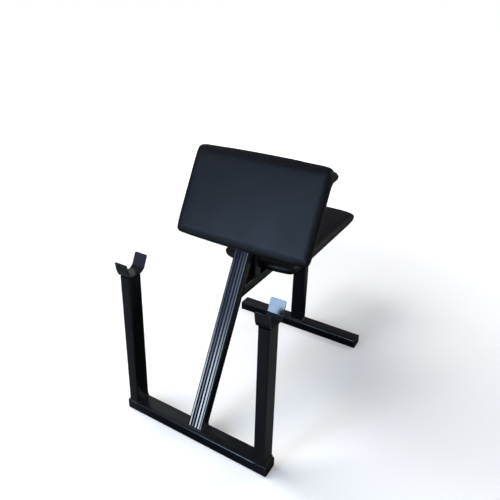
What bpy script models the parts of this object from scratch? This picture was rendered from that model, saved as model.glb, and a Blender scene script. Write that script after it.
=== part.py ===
"""Preacher bench: a welded frame of rectangular steel tube with two bar cradles,
a sloping arm pad on the leaning centre post and a long seat on a level beam.

Metres, +Z up. The person sits facing -Y, so -Y is the front, with the bar cradles.
Every length along Y is measured from the front face of the front base tube, and the
whole bench is then moved so that the middle of its footprint is the origin.
"""

import math

import bmesh
import bpy
from mathutils import Matrix, Vector

COLLECTION_NAME = "preacher_bench"
GAP = 0.0003  # between two pieces that touch
TINY = 1e-6  # two points closer than this are one point
SHARP_ANGLE = math.radians(35)  # a steeper edge is shaded as a crease
ALONG = 0.999  # an edge with this share of its length on an axis runs along it

# Rectangular steel tube
TUBE_WIDE = 0.060
TUBE_NARROW = 0.040
TUBE_WALL = 0.0025
TUBE_CORNER = 0.005
CORNER_STEPS = 4
SMALL_CORNER_STEPS = 3

# Cross tubes on the floor, lengths over their end caps
FRONT_BASE_LENGTH = 0.600
REAR_BASE_LENGTH = 0.600
BASE_SPACING = 0.812

# Plastic end caps
CAP_HEAD = 0.006
CAP_EDGE = 0.002
CAP_EDGE_STEPS = 2
CAP_PLUG = 0.022
CAP_PLUG_WALL = 0.002
CAP_CLEARANCE = 0.0004

# Uprights and bar cradles
UPRIGHT_INSET = 0.009  # from the front cross tube's ends
UPRIGHT_LENGTH = 0.535
CRADLE_WIDTH = 0.052
CRADLE_PLATE = 0.004
CRADLE_BEND = 0.007
CRADLE_CORNER = 0.005
CRADLE_FLOOR_INSET = 0.004
FRONT_KNEE_LEAN = 0.007
FRONT_KNEE_RISE = 0.019
FRONT_LIP_LEAN = 0.013
FRONT_LIP_RISE = 0.052
REAR_KNEE_LEAN = 0.013
REAR_KNEE_RISE = 0.010
REAR_LIP_LEAN = 0.031
REAR_LIP_RISE = 0.051

# Leaning centre post, and what is on it, measured up along its front face
POST_LEAN = math.radians(27.5)
POST_TOP_CLEARANCE = 0.032  # from its cap to the line where the roll starts
DECAL_THICKNESS = 0.0005
DECAL_MARGIN = 0.001
DECAL_START = 0.005
DECAL_TOP_CLEARANCE = 0.006  # to the arm pad's lower bar

# Seat beam, the strut that stands on it and the rear post under it
BEAM_TOP = 0.495
BEAM_OVERHANG = 0.100
STRUT_FRONT = 0.366

# Mounting bars between the frame and the padded boards
BAR_THICKNESS = 0.004
BAR_WIDTH = 0.040
BAR_LENGTH = 0.220
BAR_CORNER = 0.005
BOLT_SPACING = 0.160
SEAT_BAR_INSET = 0.140
ARM_BAR_INSET = 0.065
ARM_BAR_SPACING = 0.180

# Boards and cushions
BOARD_THICKNESS = 0.015
BOARD_MARGIN = 0.022
BOARD_CORNER = 0.020
EDGE_ROLL = 0.018
ARM_PAD_WIDTH = 0.541
ARM_PAD_LENGTH = 0.348
ARM_PAD_START = 0.656
ARM_PAD_THICKNESS = 0.050
ARM_PAD_CROWN = 0.007
ARM_ROLL_DEPTH = 0.038  # behind the post's front face
ARM_ROLL_HEIGHT = 0.049
SEAT_WIDTH = 0.310
SEAT_LENGTH = 0.640
SEAT_THICKNESS = 0.050
SEAT_CROWN = 0.009
SEAT_FRONT = 0.430
SEAT_CORNER = 0.030
SIDE_DRAW_IN = 0.002  # of a long edge, between its corners
CORNER_FALL = 0.006  # of an end edge, at its corners
BACK_DRAW_IN = 0.009  # of the covering, from its widest line to the board
FLATNESS = 4  # even power: the higher, the flatter the crown's middle
CUSHION_LEVELS = 2
SEAT_ROW_COUNT = 2  # lines of the soft form between its rounded ends
ARM_PAD_ROW_COUNT = 1

# Metric bolts, washers and tee nuts
BOLT_RADIUS = 0.004
BOLT_HEAD_FLATS = 0.013
BOLT_HEAD_HEIGHT = 0.0053
BOLT_END = 0.002
HOLE_CLEARANCE = 0.0005
WASHER_RADIUS = 0.008
WASHER_THICKNESS = 0.0016
TEE_FLANGE_RADIUS = 0.011
TEE_FLANGE = 0.0015
TEE_BARREL_WALL = 0.001
TEE_BARREL_LENGTH = 0.009
ROUND_STEPS = 16
HEXAGON_SIDES = 6

# Sizes that follow from the ones above
ROLL_START = ARM_PAD_START + ARM_PAD_LENGTH - ARM_ROLL_HEIGHT
POST_LENGTH = ROLL_START - POST_TOP_CLEARANCE - CAP_HEAD
DECAL_END = ARM_PAD_START + ARM_BAR_INSET - BAR_WIDTH / 2 - DECAL_TOP_CLEARANCE
POST_FOOT = TUBE_WIDE - TUBE_NARROW / math.cos(POST_LEAN)
CRADLE_FLOOR = TUBE_NARROW + UPRIGHT_LENGTH + GAP + CRADLE_PLATE
LIP_SLOPE = math.atan2(FRONT_LIP_LEAN - FRONT_KNEE_LEAN, FRONT_LIP_RISE - FRONT_KNEE_RISE)
FRONT_REACH = CRADLE_FLOOR_INSET - FRONT_LIP_LEAN - CRADLE_PLATE * math.cos(LIP_SLOPE)
REAR_REACH = max(SEAT_FRONT + SEAT_LENGTH, BASE_SPACING + TUBE_WIDE)
MIDDLE = (FRONT_REACH + REAR_REACH) / 2
REAR_POST_FRONT = BASE_SPACING + (TUBE_WIDE - TUBE_NARROW) / 2
BOARD_LIFT = BAR_THICKNESS + 2 * GAP
HOLE_RADIUS = BOLT_RADIUS + HOLE_CLEARANCE
CUTTER_REACH = 0.010  # a cutter's ends stand this far outside what it cuts


def clear_scene():
    for leftover in list(bpy.data.objects):
        bpy.data.objects.remove(leftover)


def new_collection(name):
    collection = bpy.data.collections.new(name)
    bpy.context.scene.collection.children.link(collection)
    return collection


def new_material(name, colour, roughness, metallic=0.0):
    material = bpy.data.materials.new(name)
    material.use_nodes = True
    shader = material.node_tree.nodes["Principled BSDF"]
    shader.inputs["Base Color"].default_value = (*colour, 1.0)
    shader.inputs["Roughness"].default_value = roughness
    shader.inputs["Metallic"].default_value = metallic
    material.diffuse_color = (*colour, 1.0)
    return material


clear_scene()
parts = new_collection(COLLECTION_NAME)
cutters = new_collection("cutters")
powder_coat = new_material("powder_coat", (0.012, 0.013, 0.016), 0.35)
cap_plastic = new_material("cap_plastic", (0.015, 0.015, 0.016), 0.55)
vinyl = new_material("vinyl", (0.010, 0.010, 0.013), 0.45)
plywood = new_material("plywood", (0.50, 0.36, 0.21), 0.70)
zinc = new_material("zinc", (0.62, 0.63, 0.65), 0.35, 1.0)
decal_film = new_material("decal_film", (0.020, 0.025, 0.060), 0.30)


def new_empty(name, parent=None):
    empty = bpy.data.objects.new(name, None)
    parts.objects.link(empty)
    empty.parent = parent
    return empty


bench = new_empty("bench_origin")
bench.location = (0, -MIDDLE, 0)
post_face = new_empty("post_face", bench)
post_face.location = (0, POST_FOOT, TUBE_NARROW)
post_face.rotation_euler = (-POST_LEAN, 0, 0)


def add_object(name, bm, material, parent, smooth=True):
    """A sub-part from a finished bmesh, with its place in the parent's own axes."""
    bmesh.ops.recalc_face_normals(bm, faces=bm.faces)
    mesh = bpy.data.meshes.new(name)
    bm.to_mesh(mesh)
    bm.free()
    if smooth:
        mesh.shade_smooth()
        mesh.set_sharp_from_angle(angle=SHARP_ANGLE)
    mesh.materials.append(material)
    made = bpy.data.objects.new(name, mesh)
    parts.objects.link(made)
    made.parent = parent
    return made


def add_cutter(target, bm, operation="DIFFERENCE"):
    """Cuts the bmesh's shape out of target, or joins it on with operation UNION.

    Both are in the same parent's axes.
    """
    bmesh.ops.recalc_face_normals(bm, faces=bm.faces)
    mesh = bpy.data.meshes.new(target.name + "_cutter")
    bm.to_mesh(mesh)
    bm.free()
    cutter = bpy.data.objects.new(mesh.name, mesh)
    cutters.objects.link(cutter)
    cutter.parent = target.parent
    cutter.hide_render = True
    cutter.display_type = "WIRE"
    boolean = target.modifiers.new(operation.lower(), "BOOLEAN")
    boolean.operation = operation
    boolean.solver = "EXACT"
    boolean.object = cutter


def box(low, high):
    bm = bmesh.new()
    bmesh.ops.create_cube(bm, size=1)
    low, high = Vector(low), Vector(high)
    bmesh.ops.scale(bm, vec=high - low, verts=bm.verts)
    bmesh.ops.translate(bm, vec=(low + high) / 2, verts=bm.verts)
    return bm


def round_edges(bm, edges, radius, steps):
    bmesh.ops.bevel(
        bm,
        geom=edges,
        offset=radius,
        offset_type="OFFSET",
        segments=steps,
        profile=0.5,
        affect="EDGES",
        material=-1,
        clamp_overlap=True,
    )


def edges_along(bm, axis):
    """The edges that run along one axis, 0 for X, 1 for Y or 2 for Z."""
    found = []
    for edge in bm.edges:
        run = edge.verts[1].co - edge.verts[0].co
        if abs(run[axis]) > ALONG * run.length:
            found.append(edge)
    return found


def rounded_box(low, high, axis, radius, steps=CORNER_STEPS):
    """A box whose four edges along one axis are rounded."""
    bm = box(low, high)
    round_edges(bm, edges_along(bm, axis), radius, steps)
    return bm


def cut_flat(bm, point, normal):
    """Takes away what lies on the normal's side of a plane, and closes the cut."""
    geometry = list(bm.verts) + list(bm.edges) + list(bm.faces)
    bmesh.ops.bisect_plane(
        bm, geom=geometry, dist=TINY, plane_co=point, plane_no=normal, clear_outer=True
    )
    rim = [edge for edge in bm.edges if edge.is_boundary]
    bmesh.ops.holes_fill(bm, edges=rim, sides=0)


def add_tube(name, low, high, axis, parent, planes=()):
    """A hollow tube that is open at both ends. planes are (point, normal) end cuts."""
    outer = rounded_box(low, high, axis, TUBE_CORNER)
    for point, normal in planes:
        cut_flat(outer, point, normal)
    tube = add_object(name, outer, powder_coat, parent)
    inset = Vector((TUBE_WALL, TUBE_WALL, TUBE_WALL))
    inset[axis] = -CUTTER_REACH
    inner_corner = max(TUBE_CORNER - TUBE_WALL, TUBE_WALL / 2)
    bore = rounded_box(Vector(low) + inset, Vector(high) - inset, axis, inner_corner)
    add_cutter(tube, bore)


def cylinder(radius, bottom, top, centre=(0, 0), steps=ROUND_STEPS):
    bm = bmesh.new()
    bmesh.ops.create_cone(
        bm,
        cap_ends=True,
        cap_tris=False,
        segments=steps,
        radius1=radius,
        radius2=radius,
        depth=top - bottom,
    )
    bmesh.ops.translate(
        bm, vec=(centre[0], centre[1], (bottom + top) / 2), verts=bm.verts
    )
    return bm


def add_end_cap(name, centre, outward, parent):
    """A cap in a tube's end: a head as wide as the tube and a hollow plug inside it.

    centre is the middle of the tube's open end and outward the way that it faces.
    The cap is shaped with its wide side on X and its head on +Z, then turned.
    """
    half_wide, half_narrow = TUBE_WIDE / 2, TUBE_NARROW / 2
    head = rounded_box(
        (-half_wide, -half_narrow, GAP), (half_wide, half_narrow, CAP_HEAD), 2, TUBE_CORNER
    )
    rim = [edge for edge in head.edges if all(v.co.z > CAP_HEAD - TINY for v in edge.verts)]
    round_edges(head, rim, CAP_EDGE, CAP_EDGE_STEPS)
    into = TUBE_WALL + CAP_CLEARANCE
    wall = into + CAP_PLUG_WALL
    corner = max(TUBE_CORNER - TUBE_WALL, TUBE_WALL / 2)
    plug = rounded_box(
        (-half_wide + into, -half_narrow + into, -CAP_PLUG),
        (half_wide - into, half_narrow - into, CAP_HEAD / 2),
        2,
        corner,
    )
    hollow = box(
        (-half_wide + wall, -half_narrow + wall, -CAP_PLUG - CUTTER_REACH),
        (half_wide - wall, half_narrow - wall, 0),
    )
    outward = Vector(outward)
    turn = outward.to_track_quat("Z", "Y").to_matrix().to_4x4()
    place = Matrix.Translation(centre) @ turn
    for shape in (head, plug, hollow):
        bmesh.ops.transform(shape, matrix=place, verts=shape.verts)
    cap = add_object(name, head, cap_plastic, parent)
    add_cutter(cap, plug, "UNION")
    add_cutter(cap, hollow)


def make_base():
    """The two cross tubes on the floor and the caps in their ends."""
    rows = (
        ("front", 0.0, FRONT_BASE_LENGTH),
        ("rear", BASE_SPACING, REAR_BASE_LENGTH),
    )
    for name, front, length in rows:
        end = length / 2 - CAP_HEAD
        low = (-end, front, 0)
        high = (end, front + TUBE_WIDE, TUBE_NARROW)
        add_tube(name + "_base_tube", low, high, 0, bench)
        for side, sign in (("left", -1), ("right", 1)):
            centre = (sign * end, front + TUBE_WIDE / 2, TUBE_NARROW / 2)
            add_end_cap(f"{name}_{side}_end_cap", centre, (sign, 0, 0), bench)


def rounded_path(points, radius, steps):
    """The points of a bent line, with an arc at each inner point."""
    path = [Vector(points[0])]
    for before, corner, after in zip(points, points[1:], points[2:]):
        corner = Vector(corner)
        back = (Vector(before) - corner).normalized()
        ahead = (Vector(after) - corner).normalized()
        half_angle = back.angle(ahead) / 2
        reach = radius / math.tan(half_angle)
        centre = corner + (back + ahead).normalized() * radius / math.sin(half_angle)
        start = corner + back * reach - centre
        end = corner + ahead * reach - centre
        turn = start.angle(end)
        for step in range(steps + 1):
            share = step / steps
            weight_start = math.sin((1 - share) * turn)
            weight_end = math.sin(share * turn)
            path.append(centre + (start * weight_start + end * weight_end) / math.sin(turn))
    path.append(Vector(points[-1]))
    return path


def add_cradle(name, centre_x):
    """A bent steel strip on top of an upright: a level floor between two leaning lips."""
    front = CRADLE_FLOOR_INSET
    rear = TUBE_WIDE - CRADLE_FLOOR_INSET
    bends = (
        (0, front - FRONT_LIP_LEAN, CRADLE_FLOOR + FRONT_LIP_RISE),
        (0, front - FRONT_KNEE_LEAN, CRADLE_FLOOR + FRONT_KNEE_RISE),
        (0, front, CRADLE_FLOOR),
        (0, rear, CRADLE_FLOOR),
        (0, rear + REAR_KNEE_LEAN, CRADLE_FLOOR + REAR_KNEE_RISE),
        (0, rear + REAR_LIP_LEAN, CRADLE_FLOOR + REAR_LIP_RISE),
    )
    path = rounded_path(bends, CRADLE_BEND, SMALL_CORNER_STEPS)
    bm = bmesh.new()
    line = [bm.verts.new(point + Vector((centre_x - CRADLE_WIDTH / 2, 0, 0))) for point in path]
    edges = [bm.edges.new(pair) for pair in zip(line, line[1:])]
    swept = bmesh.ops.extrude_edge_only(bm, edges=edges)["geom"]
    moved = [item for item in swept if isinstance(item, bmesh.types.BMVert)]
    bmesh.ops.translate(bm, vec=(CRADLE_WIDTH, 0, 0), verts=moved)
    corners = [vert for vert in bm.verts if len(vert.link_edges) == 2]
    bmesh.ops.bevel(
        bm,
        geom=corners,
        offset=CRADLE_CORNER,
        offset_type="OFFSET",
        segments=SMALL_CORNER_STEPS,
        profile=0.5,
        affect="VERTICES",
        material=-1,
        clamp_overlap=True,
    )
    bmesh.ops.recalc_face_normals(bm, faces=bm.faces)
    middle = min(bm.faces, key=lambda face: face.calc_center_median().z)
    if middle.normal.z < 0:
        bmesh.ops.reverse_faces(bm, faces=bm.faces)
    mesh = bpy.data.meshes.new(name)
    bm.to_mesh(mesh)
    bm.free()
    mesh.materials.append(powder_coat)
    cradle = bpy.data.objects.new(name, mesh)
    parts.objects.link(cradle)
    cradle.parent = bench
    plate = cradle.modifiers.new("plate", "SOLIDIFY")
    plate.thickness = CRADLE_PLATE
    plate.offset = -1


def make_uprights():
    """The two posts in front, with a bar cradle on each."""
    outer = FRONT_BASE_LENGTH / 2 - UPRIGHT_INSET
    inner = outer - TUBE_NARROW
    bottom = TUBE_NARROW + GAP
    top = TUBE_NARROW + UPRIGHT_LENGTH
    for side, sign in (("left", -1), ("right", 1)):
        across = sorted((sign * inner, sign * outer))
        low = (across[0], 0, bottom)
        high = (across[1], TUBE_WIDE, top)
        add_tube(side + "_upright", low, high, 2, bench)
        add_cradle(side + "_bar_cradle", sum(across) / 2)


def make_centre_post():
    """The leaning post, its top cap and the striped decal on its front face."""
    plumb = Vector((0, -math.sin(POST_LEAN), math.cos(POST_LEAN)))
    low = (-TUBE_WIDE / 2, 0, -TUBE_NARROW)
    high = (TUBE_WIDE / 2, TUBE_NARROW, POST_LENGTH)
    foot = (plumb * GAP, -plumb)
    add_tube("center_post", low, high, 2, post_face, planes=(foot,))
    top = (0, TUBE_NARROW / 2, POST_LENGTH)
    add_end_cap("post_top_cap", top, (0, 0, 1), post_face)
    half = TUBE_WIDE / 2 - TUBE_CORNER - DECAL_MARGIN
    low = (-half, -GAP - DECAL_THICKNESS, DECAL_START)
    high = (half, -GAP, DECAL_END)
    add_object("post_decal", box(low, high), decal_film, post_face, smooth=False)


def make_seat_frame():
    """The level beam behind the post, the strut on it and the post under it."""
    back_point = Vector((0, POST_FOOT + TUBE_NARROW / math.cos(POST_LEAN), TUBE_NARROW))
    toward_post = Vector((0, -math.cos(POST_LEAN), math.sin(POST_LEAN)))
    back_face = (back_point - toward_post * GAP, toward_post)
    half = TUBE_WIDE / 2
    beam_bottom = BEAM_TOP - TUBE_NARROW
    beam_end = REAR_POST_FRONT + TUBE_NARROW + BEAM_OVERHANG
    beam_low = (-half, 0, beam_bottom)
    beam_high = (half, beam_end, BEAM_TOP)
    add_tube("seat_beam", beam_low, beam_high, 1, bench, (back_face,))
    end_centre = (0, beam_end, beam_bottom + TUBE_NARROW / 2)
    add_end_cap("beam_end_cap", end_centre, (0, 1, 0), bench)
    strut_rear = STRUT_FRONT + TUBE_NARROW
    strut_top = back_point.z + (strut_rear - back_point.y) / math.tan(POST_LEAN)
    strut_low = (-half, STRUT_FRONT, BEAM_TOP + GAP)
    strut_high = (half, strut_rear, strut_top)
    add_tube("pad_strut", strut_low, strut_high, 2, bench, (back_face,))
    rear_low = (-half, REAR_POST_FRONT, TUBE_NARROW + GAP)
    rear_high = (half, REAR_POST_FRONT + TUBE_NARROW, beam_bottom - GAP)
    add_tube("rear_post", rear_low, rear_high, 2, bench)


class PadFrame:
    """Where a padded board is mounted: axes with the frame's face at z = 0 and +z outward."""

    def __init__(self, name, parent, location, rotation, bar_places):
        self.name = name
        self.empty = new_empty(name + "_mounting_face", parent)
        self.empty.location = location
        self.empty.rotation_euler = rotation
        self.bar_places = bar_places

    def bolt_places(self):
        half = BOLT_SPACING / 2
        return [(x, y) for y in self.bar_places for x in (-half, half)]


def add_mounting_bars(pad, words):
    """Flat steel bars welded across the tube, each with two bolt holes."""
    for word, y in zip(words, pad.bar_places):
        low = (-BAR_LENGTH / 2, y - BAR_WIDTH / 2, GAP)
        high = (BAR_LENGTH / 2, y + BAR_WIDTH / 2, GAP + BAR_THICKNESS)
        strip = rounded_box(low, high, 2, BAR_CORNER, SMALL_CORNER_STEPS)
        bar = add_object(f"{pad.name}_{word}_bar", strip, powder_coat, pad.empty)
        for x in (-BOLT_SPACING / 2, BOLT_SPACING / 2):
            hole = cylinder(
                HOLE_RADIUS, -CUTTER_REACH, BAR_THICKNESS + CUTTER_REACH, (x, y)
            )
            add_cutter(bar, hole)


def add_board(pad, low, high):
    """The plywood board, with a stepped hole for each tee nut."""
    bottom, top = low.z, high.z
    shape = rounded_box(low, high, 2, BOARD_CORNER)
    board = add_object(pad.name + "_board", shape, plywood, pad.empty)
    barrel = HOLE_RADIUS + TEE_BARREL_WALL + HOLE_CLEARANCE
    flange = TEE_FLANGE_RADIUS + HOLE_CLEARANCE
    for place in pad.bolt_places():
        add_cutter(board, cylinder(barrel, bottom - CUTTER_REACH, top + CUTTER_REACH, place))
        flange_seat = top - TEE_FLANGE - 2 * GAP
        add_cutter(board, cylinder(flange, flange_seat, top + CUTTER_REACH, place))


def add_turned(name, profile, place, parent):
    """A ring whose section is a closed profile of (radius, height) points."""
    mesh = bpy.data.meshes.new(name)
    count = len(profile)
    loop = [(i, (i + 1) % count) for i in range(count)]
    mesh.from_pydata([(radius, 0, height) for radius, height in profile], loop, [])
    mesh.materials.append(zinc)
    made = bpy.data.objects.new(name, mesh)
    parts.objects.link(made)
    made.parent = parent
    made.location = (*place, 0)
    turn = made.modifiers.new("turn", "SCREW")
    turn.axis = "Z"
    turn.steps = ROUND_STEPS
    turn.render_steps = ROUND_STEPS
    turn.use_merge_vertices = True
    turn.merge_threshold = TINY
    turn.use_smooth_shade = True


def add_bolt(name, head_top, end, place, parent):
    """A hexagon-head bolt that points up, from its head's top face to its end."""
    head_bottom = head_top - BOLT_HEAD_HEIGHT
    head_radius = BOLT_HEAD_FLATS / math.sqrt(3)
    head = cylinder(head_radius, head_bottom, head_top, place, HEXAGON_SIDES)
    bolt = add_object(name, head, zinc, parent)
    shank = cylinder(BOLT_RADIUS, (head_bottom + head_top) / 2, end, place)
    add_cutter(bolt, shank, "UNION")


def add_fasteners(pad):
    """A bolt, a washer under its head and a tee nut in the board, at each hole."""
    board_top = BOARD_LIFT + BOARD_THICKNESS
    washer_bottom = -WASHER_THICKNESS
    flange_top = board_top - GAP
    flange_bottom = flange_top - TEE_FLANGE
    barrel_bottom = flange_bottom - TEE_BARREL_LENGTH
    barrel = HOLE_RADIUS + TEE_BARREL_WALL
    washer = (
        (WASHER_RADIUS, 0),
        (WASHER_RADIUS, washer_bottom),
        (HOLE_RADIUS, washer_bottom),
        (HOLE_RADIUS, 0),
    )
    tee_nut = (
        (TEE_FLANGE_RADIUS, flange_top),
        (TEE_FLANGE_RADIUS, flange_bottom),
        (barrel, flange_bottom),
        (barrel, barrel_bottom),
        (HOLE_RADIUS, barrel_bottom),
        (HOLE_RADIUS, flange_top),
    )
    for number, place in enumerate(pad.bolt_places(), 1):
        bolt_end = board_top - BOLT_END
        add_bolt(f"{pad.name}_bolt_{number}", washer_bottom - GAP, bolt_end, place, pad.empty)
        add_turned(f"{pad.name}_washer_{number}", washer, place, pad.empty)
        add_turned(f"{pad.name}_tee_nut_{number}", tee_nut, place, pad.empty)


def split_at(bm, axis, places):
    """Adds an edge loop across the cage at each place along one axis."""
    normal = Vector((0, 0, 0))
    normal[axis] = 1
    for place in places:
        geometry = list(bm.verts) + list(bm.edges) + list(bm.faces)
        bmesh.ops.bisect_plane(
            bm, geom=geometry, dist=TINY, plane_co=normal * place, plane_no=normal
        )


def stretch(mesh, axis, pivot, low, high):
    """Stretches what lies on either side of pivot so that it ends at low and at high."""
    values = [vert.co[axis] for vert in mesh.vertices]
    below = (pivot - low) / (pivot - min(values)) if low < pivot else 1
    above = (high - pivot) / (max(values) - pivot) if high > pivot else 1
    for vert in mesh.vertices:
        offset = vert.co[axis] - pivot
        vert.co[axis] = pivot + offset * (above if offset > 0 else below)


def add_cushion(pad, low, high, thickness, crown, corner, row_count, roll=None):
    """Vinyl over foam: a crowned form whose sides draw in, wrapped round the board.

    low and high are its outer corners in plan. roll is the (height, depth) of the
    padded roll that hooks back over the far end, or None.
    """
    back = BOARD_LIFT
    front = back + thickness
    shoulder = front - crown
    centre = [(low[i] + high[i]) / 2 for i in (0, 1)]
    far_row = high[1] - (roll[0] if roll else corner)
    near_row = low[1] + corner
    row_step = (far_row - near_row) / (row_count + 1)
    cage = box((*low, back), (*high, shoulder))
    split_at(cage, 0, (low[0] + corner, centre[0], high[0] - corner))
    split_at(cage, 1, [near_row + row_step * i for i in range(row_count + 2)])
    split_at(cage, 2, (shoulder - EDGE_ROLL,))
    if roll:
        grow_roll(cage, far_row, roll[1])
    half = [(high[i] - low[i]) / 2 for i in (0, 1)]
    shape_cage(cage, centre, half, shoulder, crown, far_row if roll else high[1])
    cushion = add_object(pad.name + "_cushion", cage, vinyl, pad.empty, smooth=False)
    mesh = subdivided(cushion)
    stretch(mesh, 0, centre[0], low[0], high[0])
    stretch(mesh, 1, centre[1], low[1], high[1])
    stretch(mesh, 2, back, back - roll[1] if roll else back, front)
    mesh.shade_smooth()
    cushion.data = mesh
    board_end = far_row if roll else high[1] - BOARD_MARGIN
    board_low = Vector((low[0] + BOARD_MARGIN, low[1] + BOARD_MARGIN, back))
    board_high = Vector((high[0] - BOARD_MARGIN, board_end, back + BOARD_THICKNESS))
    cut_board_pocket(cushion, board_low, board_high)
    add_board(pad, board_low, board_high)


def shape_cage(cage, centre, half, shoulder, crown, board_end):
    """Raises the crown, draws the back and the sides in and lets the end corners fall.
    The back stays as wide as the pad beyond board_end, where the roll is."""
    for vert in cage.verts:
        across = (vert.co.x - centre[0]) / half[0]
        along = (vert.co.y - centre[1]) / half[1]
        on_side = abs(across) > 1 - TINY
        on_end = abs(along) > 1 - TINY
        if vert.co.z > shoulder - TINY:
            vert.co.z += crown * (1 - across**FLATNESS) * (1 - along**FLATNESS)
        if vert.co.z < BOARD_LIFT + TINY:
            vert.co.y -= along * BACK_DRAW_IN
            if vert.co.y < board_end + TINY:
                vert.co.x -= across * BACK_DRAW_IN
        if on_side:
            vert.co.x -= across * SIDE_DRAW_IN * (1 - along**2)
        if on_end:
            vert.co.y -= along * CORNER_FALL * across**FLATNESS


def cut_board_pocket(cushion, board_low, board_high):
    """Opens the cushion's back for the board, with a gap all round it."""
    room = Vector((GAP, GAP, GAP))
    low = board_low - room
    low.z = board_low.z - CUTTER_REACH
    add_cutter(cushion, rounded_box(low, board_high + room, 2, BOARD_CORNER))


def grow_roll(cage, start, depth):
    """Carries the far end of the cage down behind the board, from start to the end."""
    under = [
        face
        for face in cage.faces
        if face.normal.z < -ALONG and face.calc_center_median().y > start
    ]
    grown = bmesh.ops.extrude_face_region(cage, geom=under)["geom"]
    bmesh.ops.delete(cage, geom=under, context="FACES")
    moved = [item for item in grown if isinstance(item, bmesh.types.BMVert)]
    bmesh.ops.translate(cage, vec=(0, 0, -depth), verts=moved)


def subdivided(thing):
    """The thing's mesh after a Subdivision Surface."""
    smooth = thing.modifiers.new("soft", "SUBSURF")
    smooth.levels = CUSHION_LEVELS
    smooth.render_levels = CUSHION_LEVELS
    graph = bpy.context.evaluated_depsgraph_get()
    mesh = bpy.data.meshes.new_from_object(thing.evaluated_get(graph))
    thing.modifiers.remove(smooth)
    return mesh


def make_seat():
    """The level seat: two bars on the beam, the board and its cushion."""
    front_bar = SEAT_FRONT + SEAT_BAR_INSET
    rear_bar = SEAT_FRONT + SEAT_LENGTH - SEAT_BAR_INSET
    pad = PadFrame("seat", bench, (0, 0, BEAM_TOP), (0, 0, 0), (front_bar, rear_bar))
    add_mounting_bars(pad, ("front", "rear"))
    low = (-SEAT_WIDTH / 2, SEAT_FRONT)
    high = (SEAT_WIDTH / 2, SEAT_FRONT + SEAT_LENGTH)
    add_cushion(pad, low, high, SEAT_THICKNESS, SEAT_CROWN, SEAT_CORNER, SEAT_ROW_COUNT)
    add_fasteners(pad)


def make_arm_pad():
    """The sloping arm pad on the post's front face, with a roll over its top end."""
    lower_bar = ARM_PAD_START + ARM_BAR_INSET
    upper_bar = lower_bar + ARM_BAR_SPACING
    turn = (math.radians(90), 0, 0)
    pad = PadFrame("arm_pad", post_face, (0, 0, 0), turn, (lower_bar, upper_bar))
    add_mounting_bars(pad, ("lower", "upper"))
    low = (-ARM_PAD_WIDTH / 2, ARM_PAD_START)
    high = (ARM_PAD_WIDTH / 2, ARM_PAD_START + ARM_PAD_LENGTH)
    roll = (ARM_ROLL_HEIGHT, ARM_ROLL_DEPTH + BOARD_LIFT)
    add_cushion(pad, low, high, ARM_PAD_THICKNESS, ARM_PAD_CROWN, EDGE_ROLL, ARM_PAD_ROW_COUNT, roll)
    add_fasteners(pad)


make_base()
make_uprights()
make_centre_post()
make_seat_frame()
make_seat()
make_arm_pad()
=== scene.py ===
import math

import bmesh
import bpy
import numpy
from mathutils import Matrix, Vector, noise


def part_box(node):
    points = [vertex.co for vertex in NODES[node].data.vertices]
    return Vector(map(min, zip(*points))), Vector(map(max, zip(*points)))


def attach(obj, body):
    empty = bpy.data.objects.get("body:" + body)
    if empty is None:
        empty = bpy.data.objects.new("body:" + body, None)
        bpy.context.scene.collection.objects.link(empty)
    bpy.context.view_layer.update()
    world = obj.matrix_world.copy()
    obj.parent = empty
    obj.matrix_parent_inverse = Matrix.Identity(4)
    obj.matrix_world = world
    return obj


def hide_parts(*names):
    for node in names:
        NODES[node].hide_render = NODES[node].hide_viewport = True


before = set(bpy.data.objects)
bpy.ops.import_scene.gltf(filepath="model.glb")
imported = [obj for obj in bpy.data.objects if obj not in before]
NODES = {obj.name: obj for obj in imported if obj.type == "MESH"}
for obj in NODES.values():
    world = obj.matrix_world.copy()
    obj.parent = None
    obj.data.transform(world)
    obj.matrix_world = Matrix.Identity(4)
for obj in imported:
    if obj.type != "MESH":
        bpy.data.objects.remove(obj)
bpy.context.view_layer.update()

# Preacher bench. Metres, +Z up. -Y is the front, where the two bar cradles are.
MM = 0.001
ON = "root"
POST_LEAN = math.radians(27.5)
TUBE_CORNER = 5 * MM
JOIN = 0.02 * MM  # vertices closer than this are one vertex
CREASE = math.radians(32)  # a steeper edge is shaded as a crease

# The leaning post's front face: x across it, s up it and n out of it
POST_FOOT = Vector((0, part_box("center_post")[0].y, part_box("center_post")[0].z))
UP_POST = Vector((0, math.sin(POST_LEAN), math.cos(POST_LEAN)))
OFF_POST = Vector((0, -math.cos(POST_LEAN), math.sin(POST_LEAN)))
POST_AXES = Matrix((Vector((1, 0, 0)), UP_POST, OFF_POST)).transposed().to_4x4()
POST_AXES.translation = POST_FOOT
TO_POST = POST_AXES.inverted()
LEVEL = Matrix.Identity(4)  # the seat's axes, which are the scene's own


# Shader helpers
def new_group(name, inputs, outputs):
    """An empty shader node group with float, vector or colour sockets, and its two ends."""
    kinds = {"value": "NodeSocketFloat", "vector": "NodeSocketVector", "colour": "NodeSocketColor"}
    group = bpy.data.node_groups.new(name, "ShaderNodeTree")
    for label, kind, default in inputs:
        socket = group.interface.new_socket(name=label, in_out="INPUT", socket_type=kinds[kind])
        if default is not None:
            socket.default_value = default
    for label, kind in outputs:
        group.interface.new_socket(name=label, in_out="OUTPUT", socket_type=kinds[kind])
    source = group.nodes.new("NodeGroupInput")
    result = group.nodes.new("NodeGroupOutput")
    return group, source, result


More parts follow.
